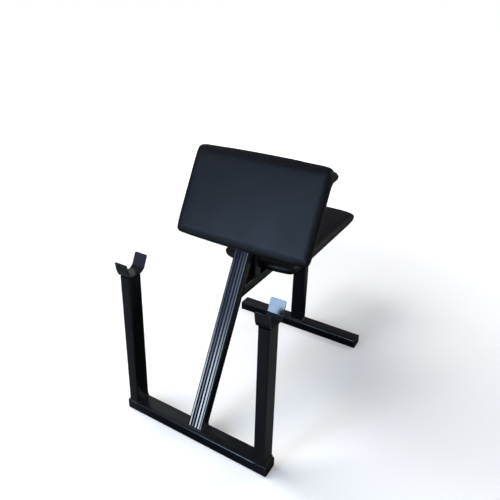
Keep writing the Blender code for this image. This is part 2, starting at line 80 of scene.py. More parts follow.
class Wiring:
    """Adds nodes to a tree with their values and links given in one call."""

    def __init__(self, tree):
        self.tree = tree

    def add(self, kind, settings=None, **inputs):
        made = self.tree.nodes.new("ShaderNode" + kind)
        for name, value in (settings or {}).items():
            setattr(made, name, value)
        for name, value in inputs.items():
            self.feed(made.inputs[name.replace("_", " ")], value)
        return made

    def feed(self, socket, value):
        if isinstance(value, bpy.types.NodeSocket):
            self.tree.links.new(value, socket)
        elif value is not None:
            socket.default_value = value

    def maths(self, operation, first, second=None, third=None):
        made = self.tree.nodes.new("ShaderNodeMath")
        made.operation = operation
        for socket, value in zip(made.inputs, (first, second, third)):
            self.feed(socket, value)
        return made.outputs[0]

    def ramp(self, value, low, high, to_low=0.0, to_high=1.0):
        """Maps low to high smoothly onto to_low to to_high."""
        made = self.tree.nodes.new("ShaderNodeMapRange")
        made.interpolation_type = "SMOOTHSTEP"
        for socket, given in zip(made.inputs, (value, low, high, to_low, to_high)):
            self.feed(socket, given)
        return made.outputs[0]

    def mix(self, share, first, second):
        made = self.tree.nodes.new("ShaderNodeMix")
        made.data_type = "RGBA"
        colours = [socket for socket in made.inputs if socket.type == "RGBA"]
        self.feed(made.inputs[0], share)
        self.feed(colours[0], first)
        self.feed(colours[1], second)
        return [socket for socket in made.outputs if socket.type == "RGBA"][0]

    def group(self, group, **inputs):
        made = self.tree.nodes.new("ShaderNodeGroup")
        made.node_tree = group
        for name, value in inputs.items():
            self.feed(made.inputs[name.replace("_", " ")], value)
        return made.outputs


def new_material(name, metallic=0.0, specular=0.5):
    material = bpy.data.materials.new(name)
    material.use_nodes = True
    wires = Wiring(material.node_tree)
    shader = material.node_tree.nodes["Principled BSDF"]
    shader.inputs["Metallic"].default_value = metallic
    shader.inputs["Specular IOR Level"].default_value = specular
    place = wires.add("TexCoord").outputs["Object"]
    return material, wires, shader, place


def rgb(red, green, blue):
    return (red, green, blue, 1.0)


# Shader groups that several finishes use
def make_skin_group():
    """Fine hills and slow changes of tone over a coated or moulded surface, sized in mm."""
    inputs = (("Vector", "vector", None), ("Grain Size", "value", 1.0), ("Patch Size", "value", 60.0))
    outputs = (("Height", "value"), ("Patches", "value"))
    group, source, result = new_group("skin", inputs, outputs)
    wires = Wiring(group)
    grain_scale = wires.maths("DIVIDE", 1 / MM, source.outputs["Grain Size"])
    patch_scale = wires.maths("DIVIDE", 1 / MM, source.outputs["Patch Size"])
    place = source.outputs["Vector"]
    fine = wires.add("TexNoise", Vector=place, Scale=grain_scale, Detail=2.0, Roughness=0.55)
    slow = wires.add("TexNoise", Vector=place, Scale=patch_scale, Detail=3.0, Roughness=0.6)
    wires.feed(result.inputs["Height"], fine.outputs[0])
    wires.feed(result.inputs["Patches"], wires.ramp(slow.outputs[0], 0.3, 0.7))
    return group


EDGE_OPENNESS = (0.78, 0.35)  # measured inwards, where wear begins and where it is full
WEAR_SCALE = 210.0
WEAR_FADE = 0.8  # of the level at which a patch is rubbed through, where it begins


def make_wear_group():
    """A mask of rubbed edges: bright where the surface is thin or turns sharply outward."""
    inputs = (("Vector", "vector", None), ("Reach", "value", 0.003), ("Amount", "value", 0.5))
    group, source, result = new_group("edge_wear", inputs, (("Wear", "value"),))
    wires = Wiring(group)
    shade = wires.add(
        "AmbientOcclusion",
        {"inside": True, "only_local": True, "samples": 6},
        Distance=source.outputs["Reach"],
    )
    edge = wires.ramp(shade.outputs["AO"], *EDGE_OPENNESS)
    place = source.outputs["Vector"]
    breaks = wires.add("TexNoise", Vector=place, Scale=WEAR_SCALE, Detail=5.0, Roughness=0.7)
    limit = wires.maths("SUBTRACT", 1.0, source.outputs["Amount"])
    broken = wires.ramp(breaks.outputs[0], wires.maths("MULTIPLY", limit, WEAR_FADE), limit)
    wires.feed(result.inputs["Wear"], wires.maths("MULTIPLY", edge, broken))
    return group


DUSTY_SLOPE = (0.35, 0.98)  # how far up a face points where dust begins and where it is full
DUST_SCALE = 22.0
THINNEST_DUST = 0.25


def make_dust_group():
    """A mask of dust: it lies on what faces up, in soft patches."""
    inputs = (("Vector", "vector", None), ("Amount", "value", 0.5))
    group, source, result = new_group("dust", inputs, (("Dust", "value"),))
    wires = Wiring(group)
    facing = wires.add("SeparateXYZ", Vector=wires.add("NewGeometry").outputs["Normal"])
    level = wires.ramp(facing.outputs["Z"], *DUSTY_SLOPE)
    place = source.outputs["Vector"]
    patches = wires.add("TexNoise", Vector=place, Scale=DUST_SCALE, Detail=5.0, Roughness=0.65)
    thin = wires.ramp(patches.outputs[0], 0.28, 0.72, THINNEST_DUST, 1.0)
    lying = wires.maths("MULTIPLY", level, thin)
    wires.feed(result.inputs["Dust"], wires.maths("MULTIPLY", lying, source.outputs["Amount"]))
    return group


SKIN = make_skin_group()
WEAR = make_wear_group()
DUST = make_dust_group()


# Finishes
COAT_TONES = (rgb(0.0040, 0.0049, 0.0065), rgb(0.0050, 0.0060, 0.0078))
COAT_GLOSS = (0.20, 0.24)  # roughness
COAT_DUST = rgb(0.036, 0.035, 0.034)
# lighter edges: partly rubbed coat, partly painted edge highlights
RUBBED_EDGE_AND_HIGHLIGHT = rgb(0.045, 0.048, 0.052)
# bright chips on weld crests: partly bare metal, partly painted glints
CHIPS_AND_PAINTED_GLINTS = rgb(0.26, 0.27, 0.28)


def powder_coat_finish(name, polish=0.0, specular=0.6, wear_and_highlight_colour=RUBBED_EDGE_AND_HIGHLIGHT):
    """Semi-gloss black powder coat: a fine orange peel, lighter edges that are partly rubbed coat and
    partly painted highlights, and a little dust. On welds these are bright chips that are also
    painted glints.
    """
    material, wires, shader, place = new_material(name, specular=specular)
    skin = wires.group(SKIN, Vector=place, Grain_Size=1.6, Patch_Size=120.0)
    wear = wires.group(WEAR, Vector=place, Reach=0.0025, Amount=0.45)["Wear"]
    dust = wires.group(DUST, Vector=place, Amount=0.13)["Dust"]
    coat = wires.mix(skin["Patches"], *COAT_TONES)
    # edges lightened: partly wear, partly painted highlight
    coat = wires.mix(wires.maths("MULTIPLY", wear, 0.5), coat, wear_and_highlight_colour)
    coat = wires.mix(dust, coat, COAT_DUST)
    wires.feed(shader.inputs["Base Color"], coat)
    gloss = wires.ramp(skin["Patches"], 0.0, 1.0, *(value - polish for value in COAT_GLOSS))
    gloss = wires.maths("MULTIPLY_ADD", dust, 0.20, gloss)
    wires.feed(shader.inputs["Roughness"], gloss)
    bump = wires.add("Bump", Strength=0.35, Distance=0.06 * MM, Height=skin["Height"])
    wires.feed(shader.inputs["Normal"], bump.outputs[0])
    return material


PLASTIC_TONES = (rgb(0.0080, 0.0085, 0.0095), rgb(0.0105, 0.0110, 0.0120))
PLASTIC_DUST = rgb(0.045, 0.044, 0.042)
SCUFFED_PLASTIC = rgb(0.050, 0.050, 0.052)


def moulded_plastic_finish():
    """Black moulded end caps with a fine spark texture and scuffed edges."""
    material, wires, shader, place = new_material("moulded_plastic", specular=0.4)
    skin = wires.group(SKIN, Vector=place, Grain_Size=0.7, Patch_Size=25.0)
    wear = wires.group(WEAR, Vector=place, Reach=0.002, Amount=0.6)["Wear"]
    dust = wires.group(DUST, Vector=place, Amount=0.5)["Dust"]
    body = wires.mix(skin["Patches"], *PLASTIC_TONES)
    body = wires.mix(wires.maths("MULTIPLY", wear, 0.7), body, SCUFFED_PLASTIC)
    body = wires.mix(dust, body, PLASTIC_DUST)
    wires.feed(shader.inputs["Base Color"], body)
    wires.feed(shader.inputs["Roughness"], wires.ramp(skin["Patches"], 0.0, 1.0, 0.44, 0.56))
    bump = wires.add("Bump", Strength=0.5, Distance=0.08 * MM, Height=skin["Height"])
    wires.feed(shader.inputs["Normal"], bump.outputs[0])
    return material


VINYL_TONES = (rgb(0.0042, 0.0046, 0.0058), rgb(0.0052, 0.0056, 0.0070))
# painted shade: the colour of the grain's creases, darker than the vinyl
PAINTED_CREASE_SHADE = rgb(0.003, 0.003, 0.004)
PEBBLE_SCALE = 720.0
UNEVENNESS_SCALE = 26.0


def vinyl_finish():
    """Black coated fabric: pebbled leather grain with painted shade in the creases between, satin
    sheen.
    """
    material, wires, shader, place = new_material("vinyl", specular=0.42)
    skin = wires.group(SKIN, Vector=place, Grain_Size=4.0, Patch_Size=90.0)
    to_edge = {"feature": "DISTANCE_TO_EDGE"}
    pebbles = wires.add("TexVoronoi", to_edge, Vector=place, Scale=PEBBLE_SCALE, Randomness=0.95)
    hills = wires.ramp(pebbles.outputs["Distance"], 0.0, 0.32)
    height = wires.maths("MULTIPLY_ADD", skin["Height"], 0.6, hills)
    slow = wires.add("TexNoise", Vector=place, Scale=UNEVENNESS_SCALE, Detail=2.0, Roughness=0.5)
    unevenness = wires.add("Bump", Strength=0.5, Distance=0.9 * MM, Height=slow.outputs[0])
    tone = wires.mix(skin["Patches"], *VINYL_TONES)
    # the grain's creases are darkened: painted shade
    wires.feed(shader.inputs["Base Color"], wires.mix(hills, PAINTED_CREASE_SHADE, tone))
    shine = wires.ramp(skin["Patches"], 0.0, 1.0, 0.43, 0.49)
    wires.feed(shader.inputs["Roughness"], wires.maths("MULTIPLY_ADD", hills, -0.04, shine))
    grain = wires.add("Bump", Strength=0.6, Distance=0.16 * MM, Height=height)
    wires.feed(grain.inputs["Normal"], unevenness.outputs[0])
    wires.feed(shader.inputs["Normal"], grain.outputs[0])
    return material


PLY_FACE_TONES = (rgb(0.60, 0.43, 0.25), rgb(0.44, 0.30, 0.165))
PLY_PORES = rgb(0.25, 0.155, 0.08)
PLY_EDGE_TONES = (rgb(0.56, 0.40, 0.23), rgb(0.30, 0.19, 0.10))
PLY_PAIR = 3.0 * MM  # thickness of a pale and a dark ply together
GRAIN_STRETCH = (6.0, 90.0, 90.0)


def plywood_finish(name, lean):
    """Birch plywood: long grain on the faces and stacked plies along the edges."""
    material, wires, shader, place = new_material(name, specular=0.35)
    turned = wires.add("Mapping", {"vector_type": "TEXTURE"}, Vector=place, Rotation=(lean, 0, 0))
    local = turned.outputs[0]
    long_grain = wires.add("Mapping", Vector=local, Scale=GRAIN_STRETCH).outputs[0]
    streaks = wires.add("TexNoise", Vector=long_grain, Scale=1.6, Detail=6.0, Roughness=0.62)
    pores = wires.add("TexNoise", Vector=long_grain, Scale=9.0, Detail=3.0, Roughness=0.7)
    face = wires.mix(wires.ramp(streaks.outputs[0], 0.3, 0.7), *PLY_FACE_TONES)
    face = wires.mix(wires.ramp(pores.outputs[0], 0.56, 0.66, 0.0, 0.35), face, PLY_PORES)
    across = wires.add("SeparateXYZ", Vector=local).outputs["Z"]
    layers = wires.maths("FRACT", wires.maths("MULTIPLY", across, 1.0 / PLY_PAIR))
    plies = wires.maths("GREATER_THAN", layers, 0.5)
    edge = wires.mix(plies, *PLY_EDGE_TONES)
    normal = wires.add("Mapping", {"vector_type": "TEXTURE"}, Rotation=(lean, 0, 0))
    wires.feed(normal.inputs["Vector"], wires.add("NewGeometry").outputs["Normal"])
    upright = wires.add("SeparateXYZ", Vector=normal.outputs[0]).outputs["Z"]
    is_face = wires.ramp(wires.maths("ABSOLUTE", upright), 0.6, 0.8)
    wires.feed(shader.inputs["Base Color"], wires.mix(is_face, edge, face))
    wires.feed(shader.inputs["Roughness"], wires.ramp(streaks.outputs[0], 0.3, 0.7, 0.62, 0.78))
    bump = wires.add("Bump", Strength=0.4, Distance=0.15 * MM, Height=pores.outputs[0])
    wires.feed(shader.inputs["Normal"], bump.outputs[0])
    return material


ZINC_TONES = (rgb(0.60, 0.62, 0.65), rgb(0.72, 0.70, 0.62))


def zinc_finish():
    """Bright zinc plate on bolts, washers and tee nuts."""
    material, wires, shader, place = new_material("zinc_plate", metallic=1.0)
    skin = wires.group(SKIN, Vector=place, Grain_Size=0.9, Patch_Size=5.0)
    wires.feed(shader.inputs["Base Color"], wires.mix(skin["Patches"], *ZINC_TONES))
    wires.feed(shader.inputs["Roughness"], wires.ramp(skin["Patches"], 0.0, 1.0, 0.24, 0.40))
    bump = wires.add("Bump", Strength=0.3, Distance=0.04 * MM, Height=skin["Height"])
    wires.feed(shader.inputs["Normal"], bump.outputs[0])
    return material


STRIPE_BLUR = 0.35 * MM


def make_stripe_group():
    """A mask of one lengthwise stripe that narrows from the film's foot to its top."""
    inputs = (
        ("Across", "value", 0.0),
        ("Along", "value", 0.0),
        ("Centre", "value", 0.0),
        ("Foot Width", "value", 0.004),
        ("Top Width", "value", 0.001),
        ("Strength", "value", 1.0),
    )
    group, source, result = new_group("film_stripe", inputs, (("Stripe", "value"),))
    wires = Wiring(group)
    given = source.outputs
    away = wires.maths("ABSOLUTE", wires.maths("SUBTRACT", given["Across"], given["Centre"]))
    width = wires.ramp(given["Along"], 0.0, 1.0, given["Foot Width"], given["Top Width"])
    half = wires.maths("MULTIPLY", width, 0.5)
    outer = wires.maths("ADD", half, STRIPE_BLUR)
    stripe = wires.maths("MULTIPLY", wires.ramp(away, outer, half), given["Strength"])
    wires.feed(result.inputs["Stripe"], stripe)
    return group


# Stripes on the post's film: middle, width at the foot, width at the top and strength
FILM_STRIPES = (
    (-22.4 * MM, 4.8 * MM, 3.6 * MM, 1.0),
    (-10.2 * MM, 3.0 * MM, 2.4 * MM, 0.40),
    (2.2 * MM, 4.8 * MM, 3.6 * MM, 0.95),
    (14.8 * MM, 6.0 * MM, 4.2 * MM, 0.90),
    (23.6 * MM, 2.6 * MM, 2.2 * MM, 0.70),
)
FILM_TONES = (rgb(0.004, 0.006, 0.018), rgb(0.006, 0.009, 0.025))
# The stripes fade between these shares of the film's height, and between these brightnesses: partly
# the print's own fade, partly a painted reflection of the floor that makes the foot bright
PRINT_AND_REFLECTION_FADE = (0.15, 0.66, 0.82, 0.11)
INK_GREEN, INK_BLUE = 0.97, 0.92  # of the ink's red
DRAWN_STREAKS = (1100.0, 1100.0, 70.0)


def decal_film_finish():
    """Dark blue film with silver stripes, printed lengthwise, bright at the foot: partly the print,
    partly a painted reflection of the floor.
    """
    material, wires, shader, place = new_material("decal_film", specular=0.2)
    stripe = make_stripe_group()
    low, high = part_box("post_decal")
    spot = wires.add("SeparateXYZ", Vector=place)
    along = wires.ramp(spot.outputs["Z"], low.z, high.z)
    along.node.interpolation_type = "LINEAR"
    silver = None
    for centre, foot_width, top_width, strength in FILM_STRIPES:
        mask = wires.group(
            stripe,
            Across=spot.outputs["X"],
            Along=along,
            Centre=centre,
            Foot_Width=foot_width,
            Top_Width=top_width,
            Strength=strength,
        )["Stripe"]
        silver = mask if silver is None else wires.maths("MAXIMUM", silver, mask)
    skin = wires.group(SKIN, Vector=place, Grain_Size=0.8, Patch_Size=30.0)
    turning = {"vector_type": "TEXTURE"}
    straight = wires.add("Mapping", turning, Vector=place, Rotation=(-POST_LEAN, 0, 0))
    drawn = wires.add("Mapping", Vector=straight.outputs[0], Scale=DRAWN_STREAKS)
    streaks = wires.add("TexNoise", Vector=drawn.outputs[0], Scale=1.0, Detail=3.0, Roughness=0.6)
    # brighter towards the foot: partly print, partly painted reflection
    ink_with_reflection = wires.ramp(along, *PRINT_AND_REFLECTION_FADE)
    ink_with_reflection = wires.maths("MULTIPLY", ink_with_reflection, wires.ramp(streaks.outputs[0], 0.3, 0.6, 0.78, 1.0))
    film = wires.mix(skin["Patches"], *FILM_TONES)
    green = wires.maths("MULTIPLY", ink_with_reflection, INK_GREEN)
    blue = wires.maths("MULTIPLY", ink_with_reflection, INK_BLUE)
    ink = wires.add("CombineColor", Red=ink_with_reflection, Green=green, Blue=blue)
    wires.feed(shader.inputs["Base Color"], wires.mix(silver, film, ink.outputs[0]))
    wires.feed(shader.inputs["Roughness"], wires.ramp(silver, 0.0, 1.0, 0.18, 0.28))
    bump = wires.add("Bump", Strength=0.3, Distance=0.05 * MM, Height=silver)
    wires.feed(shader.inputs["Normal"], bump.outputs[0])
    return material


POWDER_COAT = powder_coat_finish("powder_coat_black")
# its bright chips are partly chipped paint, partly painted glints
WELD_COAT = powder_coat_finish("powder_coat_on_weld", polish=0.10, specular=1.0, wear_and_highlight_colour=CHIPS_AND_PAINTED_GLINTS)
CRADLE_COAT = powder_coat_finish("powder_coat_rubbed", polish=0.04, specular=0.8)
PLASTIC = moulded_plastic_finish()
VINYL = vinyl_finish()
SEAT_PLY = plywood_finish("birch_ply_level", 0.0)
ARM_PLY = plywood_finish("birch_ply_leaning", math.radians(90) - POST_LEAN)
ZINC = zinc_finish()
FILM = decal_film_finish()


# CAD nodes: welded and smoothly shaded by a modifier, with their finish
def make_shading_nodes():
    """Geometry nodes that weld loose triangles and shade all but creased edges smooth."""
    group = bpy.data.node_groups.new("weld_and_smooth", "GeometryNodeTree")
    group.interface.new_socket(name="Geometry", in_out="INPUT", socket_type="NodeSocketGeometry")
    group.interface.new_socket(name="Geometry", in_out="OUTPUT", socket_type="NodeSocketGeometry")
    nodes, links = group.nodes, group.links
    source = nodes.new("NodeGroupInput")
    plain = nodes.new("GeometryNodeRemoveAttribute")
    plain.inputs["Name"].default_value = "custom_normal"
    weld = nodes.new("GeometryNodeMergeByDistance")
    weld.inputs["Distance"].default_value = JOIN
    smooth = nodes.new("GeometryNodeSetShadeSmooth")
    smooth.domain = "FACE"
    angle = nodes.new("GeometryNodeInputMeshEdgeAngle")
    steep = nodes.new("FunctionNodeCompare")
    steep.data_type = "FLOAT"
    steep.operation = "GREATER_THAN"
    steep.inputs["B"].default_value = CREASE
    crease = nodes.new("GeometryNodeSetShadeSmooth")
    crease.domain = "EDGE"
    crease.inputs["Shade Smooth"].default_value = False
    result = nodes.new("NodeGroupOutput")
    links.new(source.outputs[0], plain.inputs["Geometry"])
    links.new(plain.outputs["Geometry"], weld.inputs["Geometry"])
    links.new(weld.outputs["Geometry"], smooth.inputs["Geometry"])
    links.new(smooth.outputs["Geometry"], crease.inputs["Geometry"])
    links.new(angle.outputs["Unsigned Angle"], steep.inputs["A"])
    links.new(steep.outputs["Result"], crease.inputs["Selection"])
    links.new(crease.outputs["Geometry"], result.inputs[0])
    return group


SHADING = make_shading_nodes()


def finish_cad_node(name, material):
    node = NODES[name]
    for slot in node.material_slots:
        slot.material = material
    shading = node.modifiers.new("weld_and_smooth", "NODES")
    shading.node_group = SHADING


FASTENERS = ("bolt", "washer", "tee_nut")


def finish_cad_nodes():
    for name in NODES:
        if "cradle" in name:
            finish_cad_node(name, CRADLE_COAT)
        elif any(word in name for word in FASTENERS):
            finish_cad_node(name, ZINC)
        elif "cap" in name:
            finish_cad_node(name, PLASTIC)
        elif name == "seat_board":
            finish_cad_node(name, SEAT_PLY)
        elif name == "arm_pad_board":
            finish_cad_node(name, ARM_PLY)
        elif name == "post_decal":
            finish_cad_node(name, FILM)
        elif "cushion" not in name:
            finish_cad_node(name, POWDER_COAT)


finish_cad_nodes()


# Pieces
def add_piece(name, bm, material, crease=CREASE):
    mesh = bpy.data.meshes.new(name)
    bm.to_mesh(mesh)
    bm.free()
    mesh.materials.append(material)
    mesh.shade_smooth()
    mesh.set_sharp_from_angle(angle=crease)
    piece = bpy.data.objects.new(name, mesh)
    bpy.context.scene.collection.objects.link(piece)
    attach(piece, ON)
    return piece


# Cushions
VOXEL = 5.2 * MM
DRAW_BACK = 1.0 * MM  # the unblown form lies this far inside the CAD cushion
FILL_OUT = 2.0 * MM  # makes good what the remesh and the rounding take off
SWELL_CAP = 3.0 * MM
ROUNDING_PASSES = 4
SPREAD_PASSES = 40
RIM_START = 0.72  # of the way from the cushion's middle to its rim
FACE_HEIGHT = 45 * MM  # from the cushion's face down to what doesn't fall with it
SIDE_FALL, SIDE_REACH = 4 * MM, 26 * MM
END_FALL, END_REACH = 6.5 * MM, 38 * MM
ROLL_FILL_DEPTH = 9 * MM  # behind the post's face, where the roll is full width
ROLL_HEIGHT = 49 * MM
ROLL_END_FILL = 0.02  # of the roll's width
ROLL_LIFT = 12 * MM
SETTLING_PASSES = 2
POCKET_MARGIN = 6 * MM  # round the board, where the cushion keeps its place
PRESSURE = 4.0
CLOTH_STIFFNESS = 15
CLOTH_BENDING = 0.5
LAST_FRAME = 20


def merged_copy(node):
    bm = bmesh.new()
    bm.from_mesh(NODES[node].data)
    bmesh.ops.remove_doubles(bm, verts=bm.verts, dist=JOIN)
    return bm


def run_modifiers(thing):
    """Puts the thing's modifiers into its mesh."""
    graph = bpy.context.evaluated_depsgraph_get()
    mesh = bpy.data.meshes.new_from_object(thing.evaluated_get(graph))
    thing.modifiers.clear()
    old = thing.data
    thing.data = mesh
    bpy.data.meshes.remove(old)


def places_of(mesh):
    flat = numpy.empty(len(mesh.vertices) * 3)
    mesh.vertices.foreach_get("co", flat)
    return flat.reshape(-1, 3)


def spread(moved, mesh, pinned):
    """Evens out how far neighbouring points have moved, so that no corner is pinched."""
    ends = numpy.empty(len(mesh.edges) * 2, dtype=int)
    mesh.edges.foreach_get("vertices", ends)
    first, second = ends.reshape(-1, 2).T
    count = numpy.bincount(ends, minlength=len(moved))[:, None]
    for _ in range(SPREAD_PASSES):
        total = numpy.zeros_like(moved)
        numpy.add.at(total, first, moved[second])
        numpy.add.at(total, second, moved[first])
        moved = (moved + total / count) / 2
        moved[pinned] = 0.0
    return moved


def blow_up(thing, pinned):
    """How far the cloth moves each point with air pressure inside."""
    start = places_of(thing.data)
    pins = thing.vertex_groups.new(name="held")
    pins.add(pinned, 1.0, "REPLACE")
    cloth = thing.modifiers.new("cloth", "CLOTH")
    cloth.settings.use_pressure = True
    cloth.settings.uniform_pressure_force = PRESSURE
    cloth.settings.vertex_group_mass = "held"
    cloth.settings.effector_weights.gravity = 0.0
    cloth.settings.tension_stiffness = CLOTH_STIFFNESS
    cloth.settings.compression_stiffness = CLOTH_STIFFNESS
    cloth.settings.bending_stiffness = CLOTH_BENDING
    cloth.point_cache.frame_start = 1
    cloth.point_cache.frame_end = LAST_FRAME
    scene = bpy.context.scene
    for step in range(1, LAST_FRAME + 1):
        scene.frame_set(step)
    run_modifiers(thing)
    scene.frame_set(1)
    return places_of(thing.data) - start


def swell(thing, pinned):
    """Blows up the cushion evenly, and caps how far a point has moved."""
    start = places_of(thing.data)
    outward = numpy.array([vert.normal for vert in thing.data.vertices])
    moved = blow_up(thing, pinned)
    swollen = (moved * outward).sum(axis=1, keepdims=True)
    swollen = spread(numpy.clip(swollen, 0.0, SWELL_CAP) + FILL_OUT, thing.data, pinned)
    thing.data.vertices.foreach_set("co", (start + outward * swollen).ravel())


def smooth_free(mesh, held, passes):
    """Relaxes all but the held vertices, which rounds corners and edges."""
    bm = bmesh.new()
    bm.from_mesh(mesh)
    fixed = set(held)
    free = [vert for vert in bm.verts if vert.index not in fixed]
    for _ in range(passes):
        bmesh.ops.smooth_vert(
            bm, verts=free, factor=0.5, use_axis_x=True, use_axis_y=True, use_axis_z=True
        )
    bm.to_mesh(mesh)
    bm.free()


def clamped(share):
    return min(1.0, max(0.0, share))


def ease(share):
    """0 below 0, 1 above 1 and smooth between."""
    step = clamped(share)
    return step * step * (3 - 2 * step)


def near_rim(share):
    """0 over the cushion's middle, 1 at its rim, smoothly."""
    return ease((abs(share) - RIM_START) / (1 - RIM_START))


def fill_out(mesh, to_local, side_bulge, end_bulges, crown):
    """Rounds the cushion's sides and its low and high end outward between its corners,
    raises its face in the middle and lets it fall away towards the rim."""
    to_world = to_local.inverted()
    local = [to_local @ vert.co for vert in mesh.vertices]
    low = [min(place[i] for place in local) for i in (0, 1)]
    high = [max(place[i] for place in local) for i in (0, 1)]
    centre = [(low[i] + high[i]) / 2 for i in (0, 1)]
    half = [(high[i] - low[i]) / 2 for i in (0, 1)]
    back = max(place.z for place in local) - FACE_HEIGHT
    for vert, place in zip(mesh.vertices, local):
        across, along = [(place[i] - centre[i]) / half[i] for i in (0, 1)]
        place.x += math.copysign(side_bulge, across) * near_rim(across) * (1 - along**4)
        bulge = end_bulges[1] if along > 0 else -end_bulges[0]
        place.y += bulge * near_rim(along) * (1 - across**4)
        side_fall = SIDE_FALL * ease(1 - half[0] * (1 - abs(across)) / SIDE_REACH)
        end_fall = END_FALL * ease(1 - half[1] * (1 - abs(along)) / END_REACH)
        rise = crown * (1 - min(1, abs(across)) ** 2) * (1 - min(1, abs(along)) ** 4)
        place.z += (rise - max(side_fall, end_fall)) * ease((place.z - back) / FACE_HEIGHT)
        vert.co = to_world @ place


def shape_roll(bm, to_local):
    """Fills the roll's ends and lifts its underside, behind the pad's top edge."""
    to_world = to_local.inverted()
    top = max((to_local @ vert.co).y for vert in bm.verts)
    for vert in bm.verts:
        place = to_local @ vert.co
        behind = clamped(-place.z / ROLL_FILL_DEPTH)
        below = clamped((top - place.y) / ROLL_HEIGHT)
        place.x *= 1 + ROLL_END_FILL * behind
        place.y += ROLL_LIFT * behind * below
        vert.co = to_world @ place


def in_pocket(place, board):
    """Whether a point lies in or close round the board, whose box is (low, high)."""
    low, high = board
    return all(low[i] - POCKET_MARGIN < place[i] < high[i] + POCKET_MARGIN for i in range(3))


def add_cushion(name, node, to_local, board, side_bulge, end_bulges, crown):
    """Vinyl over foam, blown up a little from the CAD cushion. to_local turns a point
    into axes with z out of the board, whose box in those axes is board = (low, high)."""
    bm = merged_copy(node)
    bmesh.ops.recalc_face_normals(bm, faces=bm.faces)
    if to_local is TO_POST:
        shape_roll(bm, to_local)
    for vert in bm.verts:
        if not in_pocket(to_local @ vert.co, board):
            vert.co -= vert.normal * DRAW_BACK
    cushion = add_piece(name, bm, VINYL)
    remesh = cushion.modifiers.new("remesh", "REMESH")
    remesh.mode = "VOXEL"
    remesh.voxel_size = VOXEL
    remesh.adaptivity = 0.0
    run_modifiers(cushion)
    held = [vert.index for vert in cushion.data.vertices if in_pocket(to_local @ vert.co, board)]
    smooth_free(cushion.data, held, ROUNDING_PASSES)
    swell(cushion, held)
    smooth_free(cushion.data, held, SETTLING_PASSES)
    fill_out(cushion.data, to_local, side_bulge, end_bulges, crown)
    cushion.data.shade_smooth()
    finer = cushion.modifiers.new("finer", "SUBSURF")
    finer.levels = 1
    finer.render_levels = 1
    cushion.data.materials.clear()
    cushion.data.materials.append(VINYL)
    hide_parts(node)


def local_box(node, to_local):
    points = [to_local @ vert.co for vert in NODES[node].data.vertices]
    low = Vector([min(point[i] for point in points) for i in range(3)])
    high = Vector([max(point[i] for point in points) for i in range(3)])
    return low, high


arm_board = local_box("arm_pad_board", TO_POST)
seat_board = local_box("seat_board", LEVEL)
add_cushion(
    "arm_pad",
    "arm_pad_cushion",
    TO_POST,
    arm_board,
    side_bulge=6 * MM,
    end_bulges=(2.5 * MM, 2.5 * MM),
    crown=0.0,
)
add_cushion(
    "seat",
    "seat_cushion",
    LEVEL,
    seat_board,
    side_bulge=6 * MM,
    end_bulges=(12 * MM, 19 * MM),
    crown=6 * MM,
)


# Paths that beads and hems follow
def straight_path(start, end, spacing):
    start, end = Vector(start), Vector(end)
    count = max(2, round((end - start).length / spacing))
    return [start.lerp(end, step / count) for step in range(count + 1)]


def round_path(low, high, radius, spacing, group=1):
    """Points and outward directions along a rectangle with round corners, evenly spaced.
    Their count is a whole number of groups."""
    sides = (high[0] - low[0] - 2 * radius, high[1] - low[1] - 2 * radius) * 2
    arc = radius * math.pi / 2
    total = sum(sides) + 4 * arc
    count = group * round(total / spacing / group)
    path = []
    for step in range(count):
        rest = total * step / count
        centre = Vector((low[0] + radius, low[1] + radius))
        heading = 0.0
        for side in sides:
            ahead = Vector((math.cos(heading), math.sin(heading)))
            centre += ahead * min(rest, side)
            rest -= side
            if rest <= arc:
                break
            rest -= arc
            heading += math.pi / 2
        heading += max(0.0, rest) / radius
        outward = Vector((math.sin(heading), -math.cos(heading)))
        path.append((centre + outward * radius, outward))
    return path


# Welds: a bead of scallops along each joint of the frame
BEAD_RADIUS = 3.4 * MM
BEAD_PITCH = 2.8 * MM
BEAD_SIDES = 10
RINGS_PER_SCALLOP = 4
RING_SPACING = BEAD_PITCH / RINGS_PER_SCALLOP
BEAD_NOISE_SCALE = 140.0
SCALLOP_PHASE = 0.6
# Shares of the bead's radius: between scallops, added by a scallop, and added by chance
SCALLOP_FOOT = 0.78
SCALLOP_RISE = 0.24
BEAD_UNEVENNESS = 0.16
# Shares of its full size: at an open bead's ends, and gained for each scallop from there
BEAD_TAPER = 0.5
BEAD_GROWTH = 0.4
BEAD_CREASE = math.radians(85)
TUBE_DEPTH = 40 * MM  # of the post, across its lean
WELD_SINK = 0.5 * MM  # how far a bead's middle lies inside the joint


def bead_radius(place, step, count, closed):
    """Swells and shrinks once a scallop, and tapers at an open bead's ends."""
    wave = abs(math.sin(math.pi * step / RINGS_PER_SCALLOP + SCALLOP_PHASE))
    uneven = BEAD_UNEVENNESS * noise.noise(place * BEAD_NOISE_SCALE)
    size = SCALLOP_FOOT + SCALLOP_RISE * wave + uneven
    if not closed:
        from_end = min(step, count - 1 - step) / RINGS_PER_SCALLOP
        size *= min(1.0, BEAD_TAPER + from_end * BEAD_GROWTH)
    return size * BEAD_RADIUS


